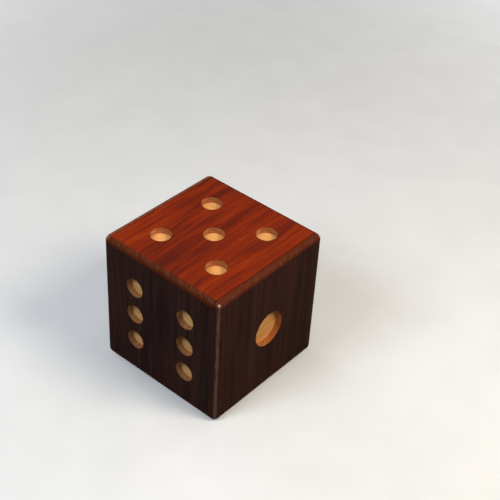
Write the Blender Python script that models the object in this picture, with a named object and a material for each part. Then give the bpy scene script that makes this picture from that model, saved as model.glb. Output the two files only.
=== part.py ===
"""A wooden box in the shape of a die.

Six thin hardwood boards cover a light-wood inner box. The pips are holes through the boards, so
the light wood shows at the bottom of each one. The top board is the lid: it slides back on two
runners until a peg under it meets the back wall. Two loose steel pins in the front wall lock the
lid when the die is turned over.

Units are metres and +Z is up. The origin is at the centre of the bottom face. The face with one
pip looks along +X and the face with six pips looks along -Y.
"""

import math

import bmesh
import bpy
from mathutils import Matrix, Vector

MM = 0.001

# Whole die
SIDE = 68.0 * MM
HALF = SIDE / 2
EDGE_RADIUS = 2.8 * MM
EDGE_SEGMENTS = 6

# Boards and inner box
BOARD = 3.0 * MM
WALL = 6.0 * MM
LID_BOARD = 5.0 * MM
CORE = HALF - BOARD
CAVITY = CORE - WALL
LID_UNDERSIDE = SIDE - BOARD - LID_BOARD

# Gaps
GLUE = 0.05 * MM
SLIDE = 0.3 * MM
OPEN_SEAM = 0.4 * MM
TIGHT_SEAM = 0.15 * MM

# Pips
SMALL_PIP_RADIUS = 4.75 * MM
LARGE_PIP_RADIUS = 8.75 * MM
PIP_PITCH = 16.3 * MM
SIX_PITCH = 15.0 * MM
SMALL_PIP_SIDES = 32
LARGE_PIP_SIDES = 48

# Lid runners and their grooves
RUNNER_HEIGHT = 1.8 * MM
RUNNER_REACH = 2.2 * MM
RUNNER_Z = LID_UNDERSIDE + 2.5 * MM
RUNNER_START = -CORE + 2.4 * MM
GROOVE_START = -CORE + 2.0 * MM

# Lock pins
PIN_RADIUS = 1.5 * MM
PIN_LENGTH = 10.0 * MM
PIN_CHAMFER = 0.4 * MM
BORE_RADIUS = 1.8 * MM
PIN_X = 15.0 * MM
PIN_Y = -CORE + WALL / 2
PIN_DROP = 0.4 * MM
LID_BORE_DEPTH = 3.5 * MM

# Peg under the lid that stops it at the back wall
PEG_RADIUS = 2.0 * MM
PEG_Y = -22.0 * MM
PEG_DROP = 4.0 * MM
PEG_SOCKET = 2.5 * MM

# Round pieces
ROD_SIDES = 24
SHARP_ANGLE = 40

# Cutters run this far past what they cut
OVERCUT = 2.0 * MM


def clear_scene():
    for obj in list(bpy.data.objects):
        bpy.data.objects.remove(obj, do_unlink=True)


def make_material(name, colour, roughness, metallic=0.0):
    material = bpy.data.materials.new(name)
    material.use_nodes = True
    shader = material.node_tree.nodes["Principled BSDF"]
    shader.inputs["Base Color"].default_value = (*colour, 1.0)
    shader.inputs["Roughness"].default_value = roughness
    shader.inputs["Metallic"].default_value = metallic
    return material


def mesh_object(name, bm, location, material=None):
    mesh = bpy.data.meshes.new(name)
    bm.to_mesh(mesh)
    bm.free()
    obj = bpy.data.objects.new(name, mesh)
    obj.location = location
    if material:
        mesh.materials.append(material)
    bpy.context.scene.collection.objects.link(obj)
    return obj


def box(name, low, high, material=None):
    """A block between two opposite corners, with its origin at its centre."""
    low, high = Vector(low), Vector(high)
    bm = bmesh.new()
    bmesh.ops.create_cube(bm, size=1.0, matrix=Matrix.Diagonal((*(high - low), 1.0)))
    return mesh_object(name, bm, (low + high) / 2, material)


def as_cutter(obj):
    obj.hide_render = True
    obj.display_type = "WIRE"
    return obj


def add_boolean(obj, cutter, operation="DIFFERENCE"):
    boolean = obj.modifiers.new(cutter.name, "BOOLEAN")
    boolean.operation = operation
    boolean.object = cutter


def rounded_cube():
    """The outer form that every board is trimmed to."""
    cube = as_cutter(box("die_outline", (-HALF, -HALF, 0), (HALF, HALF, SIDE)))
    bevel = cube.modifiers.new("rounded_edges", "BEVEL")
    bevel.width = EDGE_RADIUS
    bevel.segments = EDGE_SEGMENTS
    bevel.limit_method = "NONE"
    cube.data.shade_smooth()
    return cube


def drill(name, centres, direction, radius, sides):
    """Cylinders along one axis, centred on a face, as one cutter."""
    turn = Vector((0, 0, 1)).rotation_difference(Vector(direction)).to_matrix().to_4x4()
    bm = bmesh.new()
    for centre in centres:
        bmesh.ops.create_cone(
            bm,
            cap_ends=True,
            segments=sides,
            radius1=radius,
            radius2=radius,
            depth=2 * (BOARD + OVERCUT),
            matrix=Matrix.Translation(centre) @ turn,
        )
    cutter = as_cutter(mesh_object(name, bm, (0, 0, 0)))
    shade_round(cutter)
    return cutter


def grid_points(count, pitch):
    """Pip places on a face, as steps from its centre."""
    corners = [(-pitch, -pitch), (pitch, pitch), (-pitch, pitch), (pitch, -pitch)]
    return {
        1: [(0, 0)],
        2: corners[:2],
        3: corners[:2] + [(0, 0)],
        4: corners,
        5: corners + [(0, 0)],
        6: corners + [(-pitch, 0), (pitch, 0)],
    }[count]


def face_drill(name, count, direction, pitch=PIP_PITCH, radius=SMALL_PIP_RADIUS, sides=SMALL_PIP_SIDES):
    normal = Vector(direction)
    middle = Vector((0, 0, HALF)) + normal * HALF
    upward = Vector((0, 1, 0)) if normal.z else Vector((0, 0, 1))
    across = upward.cross(normal)
    centres = [middle + across * u + upward * v for u, v in grid_points(count, pitch)]
    return drill(name, centres, direction, radius, sides)


def board(name, low, high, material, outline, pips):
    """An outer board: a block that runs past the outline, trimmed to it and drilled."""
    obj = box(name, low, high, material)
    add_boolean(obj, outline, "INTERSECT")
    if pips:
        add_boolean(obj, pips)
    return obj


def make_boards(wood, outline):
    past = HALF + OVERCUT
    seam = CORE - GLUE
    side_top = SIDE - BOARD - SLIDE
    board("side_panel_one", (CORE, -past, -OVERCUT), (past, past, SIDE + OVERCUT), wood, outline,
          face_drill("drill_one", 1, (1, 0, 0), radius=LARGE_PIP_RADIUS, sides=LARGE_PIP_SIDES))
    board("side_panel_four", (-past, -past, -OVERCUT), (-CORE, past, SIDE + OVERCUT), wood, outline,
          face_drill("drill_four", 4, (-1, 0, 0)))
    board("side_panel_six", (-seam, -past, BOARD + GLUE), (seam, -CORE, side_top), wood, outline,
          face_drill("drill_six", 6, (0, -1, 0), pitch=SIX_PITCH))
    board("side_panel_three", (-seam, CORE, BOARD + GLUE), (seam, past, LID_UNDERSIDE), wood, outline,
          face_drill("drill_three", 3, (0, 1, 0)))
    board("bottom_panel_two", (-seam, -past, -OVERCUT), (seam, past, BOARD), wood, outline,
          face_drill("drill_two", 2, (0, 0, -1)))


def make_groove(side):
    """Cutter for the groove that a lid runner slides in; side is -1 or 1."""
    reach = CAVITY - SLIDE + RUNNER_REACH + SLIDE
    inner, outer = sorted((side * (CAVITY - OVERCUT), side * reach))
    half_height = RUNNER_HEIGHT / 2 + SLIDE
    name = "groove_left" if side < 0 else "groove_right"
    return as_cutter(box(
        name,
        (inner, GROOVE_START, RUNNER_Z - half_height),
        (outer, CORE + OVERCUT, RUNNER_Z + half_height),
    ))


def shade_round(obj):
    obj.data.shade_smooth()
    obj.data.set_sharp_from_angle(angle=math.radians(SHARP_ANGLE))


def upright_rod(name, centre, radius, low, high, material=None, chamfer=0.0):
    """A round rod along Z between two heights, with its origin at its middle."""
    bm = bmesh.new()
    bmesh.ops.create_cone(
        bm, cap_ends=True, segments=ROD_SIDES, radius1=radius, radius2=radius, depth=high - low
    )
    if chamfer:
        rims = [edge for edge in bm.edges if edge.calc_face_angle() > math.radians(SHARP_ANGLE)]
        bmesh.ops.bevel(bm, geom=rims, offset=chamfer, segments=1, affect="EDGES")
    rod = mesh_object(name, bm, (*centre, (low + high) / 2), material)
    shade_round(rod)
    return rod


def pin_bore(name, side, low, high):
    return as_cutter(upright_rod(name, (side * PIN_X, PIN_Y), BORE_RADIUS, low, high))


def make_inner_box(wood):
    skin = CORE - GLUE
    bottom = BOARD + GLUE
    wall_top = SIDE - BOARD - SLIDE
    for side, name in ((-1, "inner_wall_left"), (1, "inner_wall_right")):
        inner, outer = sorted((side * CAVITY, side * skin))
        wall = box(name, (inner, -skin, bottom), (outer, skin, wall_top), wood)
        add_boolean(wall, make_groove(side))
    between = CAVITY - GLUE
    front = box("inner_wall_front", (-between, -skin, bottom), (between, -CAVITY, LID_UNDERSIDE), wood)
    bore_bottom = LID_UNDERSIDE - PIN_DROP - PIN_LENGTH
    for side, name in ((-1, "pin_bore_left"), (1, "pin_bore_right")):
        add_boolean(front, pin_bore(name, side, bore_bottom, LID_UNDERSIDE + OVERCUT))
    box("inner_wall_back", (-between, CAVITY, bottom), (between, skin, LID_UNDERSIDE), wood)
    box("inner_floor", (-between, -between, bottom), (between, between, BOARD + WALL), wood)


def make_runner(side, wood):
    name = "lid_runner_left" if side < 0 else "lid_runner_right"
    edge = CAVITY - SLIDE
    inner, outer = sorted((side * (edge - RUNNER_REACH), side * (edge + RUNNER_REACH)))
    half_height = RUNNER_HEIGHT / 2
    low = (inner, RUNNER_START, RUNNER_Z - half_height)
    high = (outer, CORE - GLUE, RUNNER_Z + half_height)
    return box(name, low, high, wood)


def make_runner_slot(side):
    """Cutter for the slot in the lid board's edge that a runner is glued into."""
    name = "runner_slot_left" if side < 0 else "runner_slot_right"
    edge = CAVITY - SLIDE
    inner, outer = sorted((side * (edge - RUNNER_REACH - GLUE), side * (edge + OVERCUT)))
    half_height = RUNNER_HEIGHT / 2 + GLUE
    low = (inner, -CORE - OVERCUT, RUNNER_Z - half_height)
    high = (outer, CORE + OVERCUT, RUNNER_Z + half_height)
    return as_cutter(box(name, low, high))


def make_lid(face_wood, side_wood, inner_wood, outline):
    past = HALF + OVERCUT
    left = -CORE + TIGHT_SEAM
    right = CORE - OPEN_SEAM
    underside = LID_UNDERSIDE + SLIDE
    board("lid_panel_five", (left, -past, SIDE - BOARD), (right, past, SIDE + OVERCUT), face_wood,
          outline, face_drill("drill_five", 5, (0, 0, 1)))
    board("lid_end_strip", (left, CORE, underside), (right, past, SIDE - BOARD - GLUE), side_wood,
          outline, None)
    edge = CAVITY - SLIDE
    inner = box("lid_inner_board", (-edge, -CORE + SLIDE, underside),
                (edge, CORE - GLUE, SIDE - BOARD - GLUE), inner_wood)
    for side, name in ((-1, "lid_bore_left"), (1, "lid_bore_right")):
        make_runner(side, inner_wood)
        add_boolean(inner, make_runner_slot(side))
        add_boolean(inner, pin_bore(name, side, underside - OVERCUT, underside + LID_BORE_DEPTH))
    peg_at = (0, PEG_Y)
    socket_top = underside + PEG_SOCKET
    socket = upright_rod("peg_socket", peg_at, PEG_RADIUS + GLUE, underside - OVERCUT, socket_top)
    add_boolean(inner, as_cutter(socket))
    upright_rod("lid_stop_peg", peg_at, PEG_RADIUS, underside - PEG_DROP, socket_top - GLUE, inner_wood)


def make_pins(steel):
    """Steel pins with both ends chamfered, dropped to the bottom of their bores."""
    top = LID_UNDERSIDE - PIN_DROP + GLUE
    for side, name in ((-1, "lock_pin_left"), (1, "lock_pin_right")):
        centre = (side * PIN_X, PIN_Y)
        upright_rod(name, centre, PIN_RADIUS, top - PIN_LENGTH, top, steel, chamfer=PIN_CHAMFER)


def main():
    clear_scene()
    red_wood = make_material("red_hardwood", (0.20, 0.036, 0.015), 0.35)
    dark_wood = make_material("dark_hardwood", (0.055, 0.027, 0.022), 0.35)
    light_wood = make_material("light_wood", (0.75, 0.52, 0.30), 0.45)
    steel = make_material("steel", (0.60, 0.60, 0.62), 0.30, metallic=1.0)
    outline = rounded_cube()
    make_boards(dark_wood, outline)
    make_inner_box(light_wood)
    make_lid(red_wood, dark_wood, light_wood, outline)
    make_pins(steel)


main()
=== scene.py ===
"""Looks of the wooden die box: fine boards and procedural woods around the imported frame."""

import math

import bmesh
import bpy
from mathutils import Matrix, Vector


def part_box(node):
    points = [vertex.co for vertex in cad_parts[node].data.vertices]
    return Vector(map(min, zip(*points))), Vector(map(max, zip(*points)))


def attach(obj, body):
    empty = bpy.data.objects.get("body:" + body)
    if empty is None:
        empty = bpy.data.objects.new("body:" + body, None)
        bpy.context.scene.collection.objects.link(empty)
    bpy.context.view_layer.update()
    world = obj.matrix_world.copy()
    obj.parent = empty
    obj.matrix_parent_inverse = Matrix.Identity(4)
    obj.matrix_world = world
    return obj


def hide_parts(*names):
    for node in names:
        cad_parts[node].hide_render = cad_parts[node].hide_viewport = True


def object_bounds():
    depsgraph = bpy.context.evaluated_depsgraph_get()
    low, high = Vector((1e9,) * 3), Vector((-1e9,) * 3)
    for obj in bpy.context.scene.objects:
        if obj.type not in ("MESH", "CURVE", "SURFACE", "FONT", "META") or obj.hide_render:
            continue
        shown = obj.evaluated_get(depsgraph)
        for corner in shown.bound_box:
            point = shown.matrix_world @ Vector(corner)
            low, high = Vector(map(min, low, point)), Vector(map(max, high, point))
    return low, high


MM = 0.001

# Shape of the boards
EDGE_RADIUS = 2.8 * MM
EDGE_SEGMENTS = 12
PIP_LIP = 0.22 * MM
WALL_MARGIN = 0.3 * PIP_LIP
LIP_STEPS = 5
LIP_TURN = math.radians(84)
PIP_STEP = 0.55 * MM
SEAM_BREAK = 0.08 * MM
OVERCUT = 2.0 * MM
SHARP = math.radians(40)
ON_OUTLINE = 0.04 * MM
ON_PLANE = 1e-6
SAME_PLACE = 1e-7
RIM_GAP = 1.5 * MM

# Inner pieces
SOFT_EDGE = 0.35 * MM
ROD_SIDES = 64
ROD_SHARP = math.radians(30)
FLAT_WITHIN = math.radians(1)
PIN_CHAMFER = 0.4 * MM

# Camera at the photo's angle: angles in degrees, distance in sides of the die, lens in mm
CAMERA_AZIMUTH = 41.19
CAMERA_ELEVATION = 40.21
CAMERA_DISTANCE = 7.36
CAMERA_PAN = 1.98
CAMERA_TILT = 2.28
CAMERA_ROLL = 1.92
CAMERA_LENS = 79.2
CAMERA_SENSOR = 36.0
CAMERA_NEAREST = 0.01

# Studio: only the camera sees a pale floor and world, so that they don't wash out the dark woods
WORLD_COLOUR = (0.80, 0.82, 0.86)
WORLD_STRENGTH = 0.22
REFLECTED_WORLD = 0.08
SEEN_WORLD = 0.80
FLOOR_RADIUS = 8.0
FLOOR_SIDES = 96
FLOOR_MOTTLE = 40.0
FLOOR_COLOURS = [(0.3, (0.64, 0.64, 0.64)), (0.7, (0.67, 0.67, 0.67))]
FLOOR_FADE = (0.25, 1.0)
UNSEEN_FLOOR = (0.055, 0.055, 0.055)

# Soft lights: (name, place, size, power, colour)
WHITE = (1.0, 1.0, 1.0)
LIGHTS = [
    ("front_left", (-0.063, -0.326, 0.402), 0.21, 1.55, (0.94, 1.0, 1.08)),
    ("right_back", (0.315, 0.084, 0.402), 0.21, 1.80, (1.10, 1.0, 0.83)),
    ("far_left", (-0.68, 0.07, 0.20), 0.30, 1.5, WHITE),
    ("far_back", (0.07, 0.68, 0.20), 0.30, 1.5, WHITE),
    ("near_camera", (0.42, -0.50, 0.62), 0.05, 0.6, WHITE),
]

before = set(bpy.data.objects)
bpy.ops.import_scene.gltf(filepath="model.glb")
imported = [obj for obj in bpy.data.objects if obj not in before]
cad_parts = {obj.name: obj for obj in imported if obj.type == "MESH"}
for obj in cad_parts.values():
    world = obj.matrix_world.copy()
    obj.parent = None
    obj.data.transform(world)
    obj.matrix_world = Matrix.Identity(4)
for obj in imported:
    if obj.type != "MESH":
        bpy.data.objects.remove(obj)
cad_low, cad_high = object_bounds()
SIDE = cad_high.z - cad_low.z
HALF = SIDE / 2
CENTRE = (cad_low + cad_high) / 2
BOARD = cad_high.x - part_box("side_panel_one")[0].x
PIP_MARGIN = 3 * BOARD
FACE_MARGIN = EDGE_RADIUS / 4


# ---------------------------------------------------------------- meshes


def link(name, mesh):
    obj = bpy.data.objects.new(name, mesh)
    bpy.context.scene.collection.objects.link(obj)
    return obj


def finish_mesh(name, bm):
    mesh = bpy.data.meshes.new(name)
    bm.to_mesh(mesh)
    bm.free()
    return mesh


def block_mesh(name, low, high):
    bm = bmesh.new()
    size = Vector(high) - Vector(low)
    matrix = Matrix.Translation((Vector(low) + Vector(high)) / 2) @ Matrix.Diagonal((*size, 1.0))
    bmesh.ops.create_cube(bm, size=1.0, matrix=matrix)
    return finish_mesh(name, bm)


def make_outline():
    """The whole die's outer form, with round edges and corners."""
    obj = link("outline", block_mesh("outline", cad_low, cad_high))
    bevel = obj.modifiers.new("round", "BEVEL")
    bevel.width = EDGE_RADIUS
    bevel.segments = EDGE_SEGMENTS
    bevel.limit_method = "NONE"
    obj.data.shade_smooth()
    obj.hide_render = True
    return obj


def face_axis(node):
    """(axis number, sign) of the side that a board covers: it is thinnest along that axis."""
    low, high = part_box(node)
    axis = min(range(3), key=lambda k: high[k] - low[k])
    sign = 1 if (low[axis] + high[axis]) / 2 > CENTRE[axis] else -1
    return axis, sign


def pip_rims(node):
    """[(centre, radius)] of a board's pips, from the rim points on the board's hidden face."""
    axis, sign = face_axis(node)
    low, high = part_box(node)
    hidden = low[axis] if sign > 0 else high[axis]
    others = [k for k in range(3) if k != axis]
    points = []
    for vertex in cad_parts[node].data.vertices:
        co = vertex.co
        inside = all(low[k] + PIP_MARGIN < co[k] < high[k] - PIP_MARGIN for k in others)
        if abs(co[axis] - hidden) < ON_PLANE and inside:
            points.append(co.copy())
    rims = []
    while points:
        rim = [points.pop()]
        for seed in rim:
            near = [p for p in points if (p - seed).length < RIM_GAP]
            points = [p for p in points if (p - seed).length >= RIM_GAP]
            rim.extend(near)
        lows = Vector([min(p[k] for p in rim) for k in range(3)])
        highs = Vector([max(p[k] for p in rim) for k in range(3)])
        centre = (lows + highs) / 2
        rims.append((centre, max((p - centre).length for p in rim)))
    return sorted(rims, key=lambda rim: tuple(round(c, 6) for c in rim[0]))


def add_turned(bm, profile, sides, place):
    """A closed solid of revolution about Z from its (radius, height) points, put in its place."""
    angles = [2 * math.pi * k / sides for k in range(sides)]
    rings = []
    for reach, height in profile:
        ring = [Vector((reach * math.cos(a), reach * math.sin(a), height)) for a in angles]
        rings.append([bm.verts.new(place @ point) for point in ring])
    for lower, upper in zip(rings, rings[1:]):
        for k in range(sides):
            after = (k + 1) % sides
            bm.faces.new((lower[k], lower[after], upper[after], upper[k]))
    bm.faces.new(list(reversed(rings[0])))
    bm.faces.new(rings[-1])


def drill_profile(radius):
    """(radius, height) points of a drill with a rounded lip, with the board's face at height 0."""
    points = [(radius, -BOARD - OVERCUT)]
    for step in range(LIP_STEPS + 1):
        turn = LIP_TURN * step / LIP_STEPS
        points.append((radius + PIP_LIP * (1 - math.cos(turn)), PIP_LIP * (math.sin(turn) - 1)))
    points.append((points[-1][0] + PIP_LIP, OVERCUT))
    return points


def make_drill(name, rims, axis, sign):
    normal = Vector([sign if k == axis else 0 for k in range(3)])
    turn = Vector((0, 0, 1)).rotation_difference(normal).to_matrix().to_4x4()
    bm = bmesh.new()
    for centre, radius in rims:
        surface = centre.copy()
        surface[axis] = cad_high[axis] if sign > 0 else cad_low[axis]
        sides = 8 * round(2 * math.pi * radius / PIP_STEP / 8)
        add_turned(bm, drill_profile(radius), sides, Matrix.Translation(surface) @ turn)
    obj = link(name, finish_mesh(name, bm))
    obj.data.shade_smooth()
    obj.hide_render = True
    return obj


def board_block(node):
    """The board's box, run past the outline on the sides where it reaches the die's outer faces."""
    low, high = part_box(node)
    for k in range(3):
        if low[k] - cad_low[k] < FACE_MARGIN:
            low[k] = cad_low[k] - OVERCUT
        if cad_high[k] - high[k] < FACE_MARGIN:
            high[k] = cad_high[k] + OVERCUT
    return low, high


def add_boolean(obj, cutter, operation):
    boolean = obj.modifiers.new(cutter.name, "BOOLEAN")
    boolean.operation = operation
    boolean.solver = "EXACT"
    boolean.object = cutter


def apply_modifiers(obj):
    graph = bpy.context.evaluated_depsgraph_get()
    mesh = bpy.data.meshes.new_from_object(obj.evaluated_get(graph))
    obj.modifiers.clear()
    obj.data = mesh


def depth_under_outline(point):
    """How far a point lies inside the die's round-edged outer form."""
    inner = HALF - EDGE_RADIUS
    past = [abs(point[k] - CENTRE[k]) - inner for k in range(3)]
    outside = Vector([max(p, 0.0) for p in past]).length
    return EDGE_RADIUS - outside - min(max(past), 0.0)


def break_seam_edges(mesh):
    """A fine chamfer along every seam that shows on the outside."""
    bm = bmesh.new()
    bm.from_mesh(mesh)
    bmesh.ops.remove_doubles(bm, verts=bm.verts, dist=SAME_PLACE)
    bmesh.ops.dissolve_degenerate(bm, edges=bm.edges, dist=SAME_PLACE)
    seams = []
    for edge in bm.edges:
        if len(edge.link_faces) != 2 or edge.calc_face_angle() < SHARP:
            continue
        if all(depth_under_outline(v.co) < ON_OUTLINE for v in edge.verts):
            seams.append(edge)
    bmesh.ops.bevel(
        bm, geom=seams, offset=SEAM_BREAK, offset_type="OFFSET", segments=2, profile=0.5,
        affect="EDGES", clamp_overlap=True,
    )
    bm.to_mesh(mesh)
    bm.free()


def smooth(obj, angle=SHARP):
    obj.data.shade_smooth()
    obj.data.set_sharp_from_angle(angle=angle)
    weighted = obj.modifiers.new("flat_faces", "WEIGHTED_NORMAL")
    weighted.keep_sharp = True
    weighted.weight = 100


def place_piece(obj, node, body):
    """Puts a finished piece in its CAD node's stead, on a body."""
    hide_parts(node)
    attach(obj, body)


def in_a_pip(corners, rims, axis):
    """True if all these points lie on the wall of one pip."""
    for centre, radius in rims:
        offsets = [corner - centre for corner in corners]
        for offset in offsets:
            offset[axis] = 0
        if all(offset.length < radius + WALL_MARGIN for offset in offsets):
            return True
    return False


def build_board(node, body, face_wood, pip_wood):
    """A hardwood board: trimmed to the die's outline, drilled, with its seams eased."""
    obj = link(node + "_fine", block_mesh(node + "_fine", *board_block(node)))
    add_boolean(obj, outline, "INTERSECT")
    rims = pip_rims(node)
    axis, sign = face_axis(node)
    if rims:
        drill = make_drill(node + "_drill", rims, axis, sign)
        add_boolean(obj, drill, "DIFFERENCE")
    apply_modifiers(obj)
    if rims:
        bpy.data.objects.remove(drill)
    obj.data.materials.clear()
    break_seam_edges(obj.data)
    obj.data.materials.append(face_wood)
    obj.data.materials.append(pip_wood)
    for polygon in obj.data.polygons:
        corners = [obj.data.vertices[index].co for index in polygon.vertices]
        polygon.material_index = 1 if in_a_pip(corners, rims, axis) else 0
    smooth(obj)
    place_piece(obj, node, body)


def build_softened(node, body, wood):
    """An inner piece: the CAD shape with its flat faces made whole and its edges eased."""
    bm = bmesh.new()
    bm.from_mesh(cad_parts[node].data)
    bmesh.ops.remove_doubles(bm, verts=bm.verts, dist=SAME_PLACE)
    bmesh.ops.dissolve_limit(bm, angle_limit=FLAT_WITHIN, verts=bm.verts, edges=bm.edges)
    sharp = [e for e in bm.edges if len(e.link_faces) == 2 and e.calc_face_angle() > SHARP]
    bmesh.ops.bevel(
        bm, geom=sharp, offset=SOFT_EDGE, offset_type="OFFSET", segments=3, profile=0.5,
        affect="EDGES", clamp_overlap=True,
    )
    obj = link(node + "_fine", finish_mesh(node + "_fine", bm))
    obj.data.materials.append(wood)
    smooth(obj)
    place_piece(obj, node, body)


def build_rod(node, body, material, chamfer):
    """A turned rod along Z with chamfered ends."""
    low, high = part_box(node)
    centre = (low + high) / 2
    radius = (high.x - low.x) / 2
    profile = [
        (radius - chamfer, low.z), (radius, low.z + chamfer),
        (radius, high.z - chamfer), (radius - chamfer, high.z),
    ]
    bm = bmesh.new()
    add_turned(bm, profile, ROD_SIDES, Matrix.Translation((centre.x, centre.y, 0)))
    obj = link(node + "_fine", finish_mesh(node + "_fine", bm))
    obj.data.materials.append(material)
    smooth(obj, ROD_SHARP)
    place_piece(obj, node, body)


# ---------------------------------------------------------------- shader nodes


class Graph:
    """A material's node tree, with one short call for each kind of node used here."""

    def __init__(self, name):
        self.material = bpy.data.materials.new(name)
        self.material.use_nodes = True
        self.tree = self.material.node_tree
        self.tree.nodes.clear()

    def put(self, socket, value):
        if isinstance(value, bpy.types.NodeSocket):
            self.tree.links.new(value, socket)
        elif value is not None:
            if socket.type == "RGBA" and len(value) == 3:
                value = (*value, 1.0)
            socket.default_value = value

    def coordinates(self):
        """(place in metres, surface normal): at rest an object's own place is its world place."""
        node = self.tree.nodes.new("ShaderNodeTexCoord")
        return node.outputs["Object"], node.outputs["Normal"]

    def math(self, operation, first, second=None, third=None):
        node = self.tree.nodes.new("ShaderNodeMath")
        node.operation = operation
        for socket, value in zip(node.inputs, (first, second, third)):
            self.put(socket, value)
        return node.outputs[0]

    def vector(self, operation, first, second=None):
        node = self.tree.nodes.new("ShaderNodeVectorMath")
        node.operation = operation
        self.put(node.inputs[0], first)
        self.put(node.inputs[1], second)
        return node.outputs["Value" if operation in ("LENGTH", "DOT_PRODUCT") else "Vector"]

    def split(self, value):
        node = self.tree.nodes.new("ShaderNodeSeparateXYZ")
        self.put(node.inputs[0], value)
        return node.outputs[:3]

    def join(self, x, y, z):
        node = self.tree.nodes.new("ShaderNodeCombineXYZ")
        for socket, value in zip(node.inputs, (x, y, z)):
            self.put(socket, value)
        return node.outputs[0]

    def noise(self, place, detail=2.0, rough=0.5, colour=False):
        node = self.tree.nodes.new("ShaderNodeTexNoise")
        self.put(node.inputs["Vector"], place)
        self.put(node.inputs["Scale"], 1.0)
        self.put(node.inputs["Detail"], detail)
        self.put(node.inputs["Roughness"], rough)
        return node.outputs["Color" if colour else "Fac"]

    def cells(self, place):
        """(distance to the nearest cell's centre, that cell's own random number)."""
        node = self.tree.nodes.new("ShaderNodeTexVoronoi")
        self.put(node.inputs["Vector"], place)
        self.put(node.inputs["Scale"], 1.0)
        return node.outputs["Distance"], self.split(node.outputs["Color"])[0]

    def remap(self, value, low, high, to_low=0.0, to_high=1.0, smooth=True):
        node = self.tree.nodes.new("ShaderNodeMapRange")
        node.interpolation_type = "SMOOTHSTEP" if smooth else "LINEAR"
        for name, number in zip(("Value", "From Min", "From Max", "To Min", "To Max"),
                                (value, low, high, to_low, to_high)):
            self.put(node.inputs[name], number)
        return node.outputs[0]

    def mix(self, factor, first, second):
        node = self.tree.nodes.new("ShaderNodeMix")
        node.data_type = "RGBA"
        self.put(node.inputs["Factor"], factor)
        self.put(node.inputs[6], first)
        self.put(node.inputs[7], second)
        return node.outputs[2]

    def ramp(self, value, stops):
        node = self.tree.nodes.new("ShaderNodeValToRGB")
        elements = node.color_ramp.elements
        while len(elements) < len(stops):
            elements.new(0.5)
        for element, (position, colour) in zip(elements, stops):
            element.position = position
            element.color = (*colour, 1.0)
        self.put(node.inputs[0], value)
        return node.outputs[0]

    def bump(self, height, distance, strength):
        node = self.tree.nodes.new("ShaderNodeBump")
        self.put(node.inputs["Height"], height)
        self.put(node.inputs["Distance"], distance)
        self.put(node.inputs["Strength"], strength)
        return node.outputs[0]

    def surface(self, **inputs):
        shader = self.tree.nodes.new("ShaderNodeBsdfPrincipled")
        for name, value in inputs.items():
            self.put(shader.inputs[name.replace("_", " ")], value)
        output = self.tree.nodes.new("ShaderNodeOutputMaterial")
        self.tree.links.new(shader.outputs[0], output.inputs[0])
        return self.material


# ---------------------------------------------------------------- woods


class Wood:
    """A species and its finish. Colours are linear; widths across the grain are millimetres."""

    def __init__(self, **traits):
        self.traits = traits
        self.__dict__.update(traits)

    def but(self, **changes):
        """The same wood with some of its traits changed."""
        return Wood(**(self.traits | changes))


# The worn colour of each wood also paints a highlight along the die's upright edges.
DARK_WOOD = Wood(
    dark=(0.0115, 0.0048, 0.0044), middle=(0.0245, 0.0086, 0.0067), light=(0.044, 0.0152, 0.0110),
    end_dark=(0.030, 0.009, 0.005), end=(0.060, 0.016, 0.008), worn=(0.22, 0.135, 0.105),
    streak=3.6, line=1.1, warp=1.2,
    gloss=0.22, specular=0.15, coat=0.12, pore=0.6,
)
WARM_WOOD = DARK_WOOD.but(
    dark=(0.017, 0.0050, 0.0034), middle=(0.030, 0.0082, 0.0052), light=(0.046, 0.0128, 0.0082),
    end_dark=(0.060, 0.0115, 0.0038), end=(0.100, 0.0185, 0.0055),
    streak=2.2, line=0.6,
)
# Paler end grain on the far board: a painted sheen along the die's far top edge.
FAR_WOOD_PAINTED_SHEEN = WARM_WOOD.but(end_dark=(0.12, 0.030, 0.014), end=(0.20, 0.055, 0.027))
RED_WOOD = DARK_WOOD.but(
    dark=(0.088, 0.0105, 0.0045), middle=(0.160, 0.0152, 0.0032), light=(0.242, 0.0265, 0.0032),
    end_dark=(0.052, 0.0105, 0.0032), end=(0.096, 0.0205, 0.0062), worn=(0.13, 0.047, 0.019),
    streak=3.4, warp=3.0,
)
CUT_WOOD = Wood(
    dark=(0.22, 0.070, 0.021), middle=(0.36, 0.12, 0.036), light=(0.46, 0.17, 0.055),
    end_dark=(0.20, 0.065, 0.022), end=(0.38, 0.13, 0.045), worn=(0.45, 0.22, 0.08),
    streak=3.0, line=0.8, warp=1.0,
    gloss=0.3, specular=0.4, coat=0.2, pore=0.6,
)
# A paler copy of the cut wood for the pips of the one: painted light on their walls.
ONE_CUT_WOOD_PAINTED_LIGHT = CUT_WOOD.but(
    dark=(0.30, 0.094, 0.023), middle=(0.50, 0.163, 0.040), light=(0.62, 0.225, 0.062),
    end_dark=(0.28, 0.084, 0.022), end=(0.50, 0.168, 0.047), worn=(0.58, 0.26, 0.072),
)
# A less red copy of the cut wood for the side pips: painted cool light on their walls.
SIDE_CUT_WOOD_PAINTED_COOL_LIGHT = CUT_WOOD.but(
    dark=(0.195, 0.082, 0.027), middle=(0.32, 0.143, 0.048), light=(0.395, 0.195, 0.072),
    end_dark=(0.18, 0.073, 0.026), end=(0.32, 0.147, 0.055), worn=(0.37, 0.23, 0.085),
)
PALE_WOOD = Wood(
    dark=(0.54, 0.245, 0.071), middle=(0.67, 0.315, 0.096), light=(0.73, 0.365, 0.122),
    end_dark=(0.40, 0.18, 0.06), end=(0.56, 0.26, 0.09), worn=(0.66, 0.36, 0.15),
    streak=6.0, line=1.6, warp=2.0,
    gloss=0.45, specular=0.3, coat=0.0, pore=0.15,
)
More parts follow.
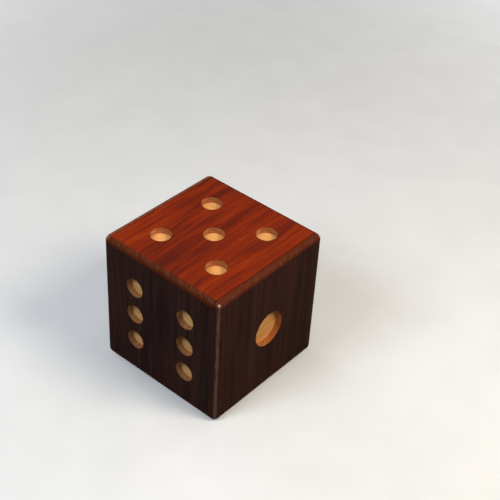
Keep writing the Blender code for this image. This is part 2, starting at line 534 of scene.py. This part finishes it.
# A less red copy of the pale wood for the front inner wall, the floor of the six's pips: painted
# cool light.
YELLOW_WOOD_PAINTED_COOL_LIGHT = PALE_WOOD.but(
    dark=(0.435, 0.240, 0.083), middle=(0.535, 0.308, 0.113), light=(0.585, 0.357, 0.144),
)
# A painted glint: a pale spot at the die's corners.
PAINTED_CORNER_GLINT = (0.50, 0.36, 0.28)
CORNER_GLINT_AMOUNT = 0.75
SCUFFED = (0.20, 0.110, 0.072)


class Figure:
    """A board's broad streaks: tone between them, share of random figure, and along one axis
    (place, width, change in tone) of each streak, in millimetres from the die's middle."""

    def __init__(self, axis, level, chance, streaks):
        self.axis, self.level, self.chance, self.streaks = axis, level, chance, streaks


LID_FIGURE = Figure(0, 0.45, 0.90, (
    (-25.0, 5.0, 0.08), (-19.0, 3.0, -0.12), (-10.0, 4.0, -0.24),
    (2.0, 5.5, -0.28), (17.5, 4.0, -0.24), (24.0, 4.0, 0.20),
))
SIX_FIGURE = Figure(0, 0.42, 0.90, (
    (2.5, 3.0, 0.14), (11.5, 2.5, 0.44), (16.5, 2.5, 0.14), (20.5, 4.5, 0.28), (27.5, 3.0, -0.10),
))
ONE_FIGURE = Figure(1, 0.50, 1.0, (
    (-26.5, 5.0, 0.34), (-19.0, 4.0, 0.12), (-10.0, 4.0, 0.36), (-3.5, 3.5, 0.34),
    (11.0, 5.0, 0.10), (19.0, 4.0, -0.06), (27.0, 5.0, -0.30),
))

# Sizes of the figure, per millimetre: RUN along the grain, PITCH across it
WAVE_RUN, WAVE_PITCH = 0.022, 0.05
STREAK_RUN = 0.012
LINE_RUN = 0.028
FIBRE_RUN, FIBRE_PITCH = 0.10, 2.6
PORE_RUN, PORE_PITCH = 0.42, 2.4
PATCH_RUN, PATCH_PITCH = 0.15, 1.0
SPECK_RUN, SPECK_PITCH = 0.5, 0.5

# Broad bands are this many streaks wide; each layer of ring noise is a slice of its own
BAND_STREAKS = 3.0
STREAK_LAYER, LINE_LAYER, BAND_LAYER = 0.0, 3.0, 7.0

# The tone of a place is the sum of these shares of noise, stretched from TONE_RANGE to 0..1
STREAK_SHARE, LINE_SHARE, BAND_SHARE, FIBRE_SHARE = 0.34, 0.42, 0.12, 0.12
TONE_RANGE = (0.37, 0.60)
DARK_UP_TO = 0.10
MIDDLE_AT = 0.45

# Middle of the tree that every board is sawn from, in millimetres across and deep
PITH = (-95.0, -60.0)

# A pore is a cell of noise: its edge fades over PORE_SIZE, and PORE_PICK leaves about half of them
PORE_SIZE = (0.30, 0.14)
PORE_PICK = (0.45, 0.55)

# End grain shows where the grain runs out through the surface at more than this slope
END_RANGE = (0.09, 0.45)
END_RAGGED = 0.5
END_TONE_RANGE = (0.42, 0.58)
END_PORES = 0.5
END_ROUGHER = 0.2
END_GLOSS_LEFT = 0.25

# Wear and a painted highlight along the edges, and a painted glint at the corners, in millimetres
# from their crests, and its patches
EDGE_WEAR_AND_HIGHLIGHT = 1.4
CORNER_GLINT_REACH = (0.085, 0.02)
PATCH_RANGE = (0.35, 0.65)
PATCH_AMOUNT = (0.30, 0.60)
SPECK_RANGE = (0.48, 0.70)
SPECK_AMOUNT = (0.0, 0.15)
WEAR_ROUGHER = 0.2

GLOSS_GRAIN = 0.12
COAT_ROUGHNESS = 0.12
FIBRE_RELIEF = 0.35
RELIEF = 0.03 * MM
RELIEF_STRENGTH = 0.5

# Pin steel: fine scratches along the pin
SCRATCHES_PER_METRE = (9000.0, 9000.0, 900.0)
STEEL_COLOURS = [(0.3, (0.48, 0.48, 0.50)), (0.7, (0.66, 0.66, 0.67))]
SCRATCH_RANGE = (0.3, 0.7)
STEEL_ROUGHNESS = (0.22, 0.40)
SCRATCH_RELIEF = 0.01 * MM
SCRATCH_STRENGTH = 0.4

TO_MM = (1 / MM,) * 3
GRAIN_ORDER = {"X": (0, 1, 2), "Y": (1, 0, 2), "Z": (2, 0, 1)}


def grain_place(g, along, run, across, deep, pitch):
    """A place in noise that is drawn out along the grain."""
    return g.join(g.math("MULTIPLY", along, run), g.math("MULTIPLY", across, pitch),
                  g.math("MULTIPLY", deep, pitch))


class Log:
    """A surface's place in its wavy log, in millimetres, and its slope to the grain."""

    def __init__(self, g, grain, shift, warp):
        place, normal = g.coordinates()
        place = g.vector("MULTIPLY", place, TO_MM)
        parts = g.split(g.vector("ADD", place, shift))
        self.graph = g
        self.along, across, deep = (parts[k] for k in GRAIN_ORDER[grain])
        waves = grain_place(g, self.along, WAVE_RUN, across, deep, WAVE_PITCH)
        waves = g.noise(waves, detail=3.0, colour=True)
        waves = g.split(g.vector("SUBTRACT", waves, (0.5, 0.5, 0.5)))
        self.across = g.math("MULTIPLY_ADD", waves[0], 2 * warp, across)
        self.deep = g.math("MULTIPLY_ADD", waves[1], 2 * warp, deep)
        from_pith = g.join(g.math("SUBTRACT", self.across, PITH[0]),
                           g.math("SUBTRACT", self.deep, PITH[1]), 0.0)
        self.radius = g.vector("LENGTH", from_pith)
        self.slope = g.split(normal)[GRAIN_ORDER[grain][0]]
        wander = g.math("MULTIPLY", waves[2], 2 * warp)
        self.on_face = [g.math("ADD", part, wander) for part in g.split(place)]

    def place(self, run, pitch):
        return grain_place(self.graph, self.along, run, self.across, self.deep, pitch)

    def rings(self, width, run, layer, detail, rough=0.5):
        """Noise that follows the growth rings."""
        g = self.graph
        place = g.join(g.math("DIVIDE", self.radius, width), g.math("MULTIPLY", self.along, run),
                       layer)
        return g.noise(place, detail=detail, rough=rough)


def edge_nearness(g):
    """How far out from the die's middle a place is, in millimetres: (toward the nearest upright
    edge, toward the nearest level edge, along the nearest diagonal)."""
    place = g.vector("SUBTRACT", g.coordinates()[0], tuple(CENTRE))
    place = g.vector("ABSOLUTE", g.vector("MULTIPLY", place, TO_MM))
    x, y, z = g.split(place)
    level = g.math("MINIMUM", g.math("MAXIMUM", x, y), z)
    diagonal = (math.sqrt(1 / 3),) * 3
    return g.math("MINIMUM", x, y), level, g.vector("DOT_PRODUCT", place, diagonal)


def wood_tone(g, log, wood, figure, lines, fibres):
    """0 for the darkest streaks, 1 for the lightest."""
    streaks = log.rings(wood.streak, STREAK_RUN, STREAK_LAYER, detail=2.0)
    bands = log.rings(BAND_STREAKS * wood.streak, STREAK_RUN, BAND_LAYER, detail=1.0)
    tone = g.math("MULTIPLY_ADD", streaks, STREAK_SHARE, g.math("MULTIPLY", lines, LINE_SHARE))
    tone = g.math("MULTIPLY_ADD", bands, BAND_SHARE, tone)
    tone = g.math("MULTIPLY_ADD", fibres, FIBRE_SHARE, tone)
    tone = g.remap(tone, *TONE_RANGE, smooth=False)
    if figure:
        tone = g.math("MULTIPLY_ADD", g.math("SUBTRACT", tone, 0.5), figure.chance, figure.level)
        for place, width, change in figure.streaks:
            off = g.math("ABSOLUTE", g.math("SUBTRACT", log.on_face[figure.axis], place))
            tone = g.math("ADD", tone, g.remap(off, width, 0.0, 0.0, change))
    return tone


def wear_highlight_and_glint_masks(g, log):
    """(wear and a painted highlight along the upright edges, scuffs along the level edges, a
    painted glint at the corners).
    """
    upright, level, corner = edge_nearness(g)
    crest = (HALF - EDGE_RADIUS * (1 - math.sqrt(1 / 2))) / MM
    tip = ((HALF - EDGE_RADIUS) * math.sqrt(3) + EDGE_RADIUS) / MM
    patches = g.noise(log.place(PATCH_RUN, PATCH_PITCH), detail=2.0, rough=0.6)
    # The band along the upright edges is partly wear and partly a painted highlight.
    wear_and_highlight = g.remap(upright, crest - EDGE_WEAR_AND_HIGHLIGHT, crest)
    wear_and_highlight = g.math("MULTIPLY", wear_and_highlight, wear_and_highlight)
    wear_and_highlight = g.math("MULTIPLY", wear_and_highlight, g.remap(patches, *PATCH_RANGE, *PATCH_AMOUNT))
    specks = g.noise(log.place(SPECK_RUN, SPECK_PITCH), detail=2.0, rough=0.55)
    scuffs = g.math("MULTIPLY", g.remap(level, crest - EDGE_WEAR_AND_HIGHLIGHT, crest),
                    g.remap(specks, *SPECK_RANGE, *SPECK_AMOUNT))
    # A painted glint at each corner.
    corner_glint = g.remap(corner, tip - CORNER_GLINT_REACH[0], tip - CORNER_GLINT_REACH[1])
    return wear_and_highlight, scuffs, g.math("MULTIPLY", corner_glint, CORNER_GLINT_AMOUNT)


def end_grain_colour(g, wood, lines, fibres, pores):
    tone = g.math("MULTIPLY_ADD", lines, 0.5, g.math("MULTIPLY", fibres, 0.5))
    colour = g.mix(g.remap(tone, *END_TONE_RANGE), wood.end_dark, wood.end)
    return g.mix(g.math("MULTIPLY", pores, END_PORES), colour, wood.worn)


def wood_material(name, wood, grain, shift, figure=None):
    """A wood with its grain along X, Y or Z. The shift, in millimetres, is its place in the log."""
    g = Graph(name)
    log = Log(g, grain, shift, wood.warp)
    lines = log.rings(wood.line, LINE_RUN, LINE_LAYER, detail=2.0, rough=0.6)
    fibres = g.noise(log.place(FIBRE_RUN, FIBRE_PITCH), detail=4.0, rough=0.65)
    tone = wood_tone(g, log, wood, figure, lines, fibres)
    colour = g.ramp(tone, [
        (0.0, wood.dark), (DARK_UP_TO, wood.dark), (MIDDLE_AT, wood.middle), (1.0, wood.light),
    ])
    distance, number = g.cells(log.place(PORE_RUN, PORE_PITCH))
    pores = g.math("MULTIPLY", g.remap(distance, *PORE_SIZE), g.remap(number, *PORE_PICK))
    colour = g.mix(g.math("MULTIPLY", pores, wood.pore), colour, wood.dark)

    ragged = g.math("SUBTRACT", fibres, 0.5)
    end = g.math("MULTIPLY_ADD", ragged, END_RAGGED, g.math("ABSOLUTE", log.slope))
    end = g.remap(end, *END_RANGE)
    colour = g.mix(end, colour, end_grain_colour(g, wood, lines, fibres, pores))

    wear_and_highlight, scuffs, corner_glint = wear_highlight_and_glint_masks(g, log)
    # Paler band along the upright edges: partly wear, partly a painted highlight.
    colour = g.mix(wear_and_highlight, colour, wood.worn)
    colour = g.mix(scuffs, colour, SCUFFED)
    # Painted glint at the corners.
    colour = g.mix(corner_glint, colour, PAINTED_CORNER_GLINT)

    roughness = g.math("MULTIPLY_ADD", ragged, GLOSS_GRAIN, wood.gloss)
    roughness = g.math("MULTIPLY_ADD", wear_and_highlight, WEAR_ROUGHER, roughness)
    roughness = g.math("MULTIPLY_ADD", end, END_ROUGHER, roughness)
    sealed = g.remap(end, 0.0, 1.0, 1.0, END_GLOSS_LEFT)
    height = g.math("MULTIPLY_ADD", pores, -1.0, g.math("MULTIPLY", fibres, FIBRE_RELIEF))
    return g.surface(
        Base_Color=colour, Roughness=roughness, Normal=g.bump(height, RELIEF, RELIEF_STRENGTH),
        Specular_IOR_Level=g.math("MULTIPLY", sealed, wood.specular),
        Coat_Weight=g.math("MULTIPLY", sealed, wood.coat), Coat_Roughness=COAT_ROUGHNESS,
    )


def steel_material():
    g = Graph("pin_steel")
    place = g.vector("MULTIPLY", g.coordinates()[0], SCRATCHES_PER_METRE)
    scratches = g.noise(place, detail=4.0, rough=0.7)
    return g.surface(
        Base_Color=g.ramp(scratches, STEEL_COLOURS), Metallic=1.0,
        Roughness=g.remap(scratches, *SCRATCH_RANGE, *STEEL_ROUGHNESS),
        Normal=g.bump(scratches, SCRATCH_RELIEF, SCRATCH_STRENGTH),
    )


# ---------------------------------------------------------------- the object


def build_hardwood_boards():
    side_pips = wood_material("pip_wall_wood_side_painted_cool_light", SIDE_CUT_WOOD_PAINTED_COOL_LIGHT, "Z", (11.0, 5.0, 3.0))
    one_pip = wood_material("pip_wall_wood_one_painted_light", ONE_CUT_WOOD_PAINTED_LIGHT, "Z", (11.0, 5.0, 3.0))
    lid_pips = wood_material("pip_wall_wood_lid", CUT_WOOD, "Y", (4.0, 9.0, 13.0))
    red = wood_material("red_wood_lid", RED_WOOD, "Y", (0.0, 0.0, 0.0), LID_FIGURE)
    one = wood_material("warm_wood_one", WARM_WOOD, "Z", (0.0, 17.0, 0.0), ONE_FIGURE)
    six = wood_material("dark_wood_six", DARK_WOOD, "Z", (60.0, 0.0, 7.0), SIX_FIGURE)
    back = wood_material("dark_wood_back", DARK_WOOD, "Z", (140.0, -31.0, 12.0))
    four = wood_material("warm_wood_four_painted_sheen", FAR_WOOD_PAINTED_SHEEN, "Z", (0.0, 88.0, 31.0))
    under = wood_material("dark_wood_bottom", DARK_WOOD, "Y", (33.0, 9.0, 70.0))
    build_board("lid_panel_five", "lid", red, lid_pips)
    build_board("lid_end_strip", "lid", back, side_pips)
    build_board("side_panel_one", "box", one, one_pip)
    build_board("side_panel_six", "box", six, side_pips)
    build_board("side_panel_three", "box", back, side_pips)
    build_board("side_panel_four", "box", four, side_pips)
    build_board("bottom_panel_two", "box", under, lid_pips)


def build_inner_pieces():
    lengthwise = wood_material("pale_wood_y", PALE_WOOD, "Y", (21.0, 3.0, 8.0))
    crosswise = wood_material("pale_wood_x", PALE_WOOD, "X", (5.0, 47.0, 14.0))
    yellower = wood_material("yellow_wood_x_painted_cool_light", YELLOW_WOOD_PAINTED_COOL_LIGHT, "X", (5.0, 47.0, 14.0))
    for node in ("inner_wall_left", "inner_wall_right"):
        build_softened(node, "box", lengthwise)
    for node in ("inner_wall_back", "inner_floor"):
        build_softened(node, "box", crosswise)
    # The front wall's wood carries painted cool light.
    build_softened("inner_wall_front", "box", yellower)
    build_softened("lid_inner_board", "lid", crosswise)
    for node in ("lid_runner_left", "lid_runner_right"):
        build_softened(node, "lid", lengthwise)
    build_rod("lid_stop_peg", "lid", lengthwise, SOFT_EDGE)
    steel = steel_material()
    build_rod("lock_pin_left", "pin_left", steel, PIN_CHAMFER)
    build_rod("lock_pin_right", "pin_right", steel, PIN_CHAMFER)


outline = make_outline()
build_hardwood_boards()
build_inner_pieces()
bpy.data.objects.remove(outline)


# ---------------------------------------------------------------- studio


def floor_material():
    """Pale to the camera, dark to all other light; far off it fades into the world's colour."""
    g = Graph("pale_floor")
    place, _ = g.coordinates()
    mottle = g.noise(g.vector("MULTIPLY", place, (FLOOR_MOTTLE,) * 3), detail=3.0)
    seen = g.tree.nodes.new("ShaderNodeLightPath").outputs["Is Camera Ray"]
    colour = g.mix(seen, UNSEEN_FLOOR, g.ramp(mottle, FLOOR_COLOURS))
    far = g.remap(g.vector("LENGTH", place), *FLOOR_FADE, 0.0, SEEN_WORLD)
    return g.surface(
        Base_Color=colour, Roughness=0.7, Specular_IOR_Level=0.2,
        Emission_Color=WORLD_COLOUR, Emission_Strength=g.math("MULTIPLY", far, seen),
    )


def make_floor():
    bm = bmesh.new()
    bmesh.ops.create_circle(bm, cap_ends=True, segments=FLOOR_SIDES, radius=FLOOR_RADIUS)
    floor = link("floor", finish_mesh("floor", bm))
    floor.data.materials.append(floor_material())


def add_light(name, place, size, power, colour):
    """A round soft light that faces the die and that the camera doesn't see."""
    light = bpy.data.lights.new(name, "AREA")
    light.shape = "DISK"
    light.size = size
    light.energy = power
    light.color = colour
    obj = link(name, light)
    obj.location = place
    obj.visible_camera = False
    obj.rotation_mode = "QUATERNION"
    obj.rotation_quaternion = (CENTRE - Vector(place)).to_track_quat("-Z", "Y")


def make_world():
    world = bpy.data.worlds.new("studio")
    world.use_nodes = True
    nodes, links = world.node_tree.nodes, world.node_tree.links
    background = nodes["Background"]
    background.inputs["Color"].default_value = (*WORLD_COLOUR, 1.0)
    ray = nodes.new("ShaderNodeLightPath")
    unseen = nodes.new("ShaderNodeMapRange")
    unseen.inputs["To Min"].default_value = WORLD_STRENGTH
    unseen.inputs["To Max"].default_value = REFLECTED_WORLD
    links.new(ray.outputs["Is Glossy Ray"], unseen.inputs["Value"])
    strength = nodes.new("ShaderNodeMapRange")
    strength.inputs["To Max"].default_value = SEEN_WORLD
    links.new(ray.outputs["Is Camera Ray"], strength.inputs["Value"])
    links.new(unseen.outputs[0], strength.inputs["To Min"])
    links.new(strength.outputs[0], background.inputs["Strength"])
    bpy.context.scene.world = world


def make_camera():
    data = bpy.data.cameras.new("camera")
    data.lens = CAMERA_LENS
    data.sensor_width = CAMERA_SENSOR
    data.clip_start = CAMERA_NEAREST
    camera = link("camera", data)
    azimuth = math.radians(CAMERA_AZIMUTH)
    elevation = math.radians(CAMERA_ELEVATION)
    back = Vector((math.sin(azimuth) * math.cos(elevation),
                   -math.cos(azimuth) * math.cos(elevation), math.sin(elevation)))
    right = Vector((0, 0, 1)).cross(back).normalized()
    up = back.cross(right)
    facing = Matrix((right, up, back)).transposed()
    facing = facing @ Matrix.Rotation(math.radians(CAMERA_ROLL), 3, "Z")
    facing = facing @ Matrix.Rotation(math.radians(-CAMERA_PAN), 3, "Y")
    facing = facing @ Matrix.Rotation(math.radians(CAMERA_TILT), 3, "X")
    place = CENTRE + back * CAMERA_DISTANCE * SIDE
    camera.matrix_world = Matrix.Translation(place) @ facing.to_4x4()
    bpy.context.scene.camera = camera


make_floor()
make_world()
for light in LIGHTS:
    add_light(*light)
make_camera()
bpy.context.scene.view_settings.view_transform = "Standard"
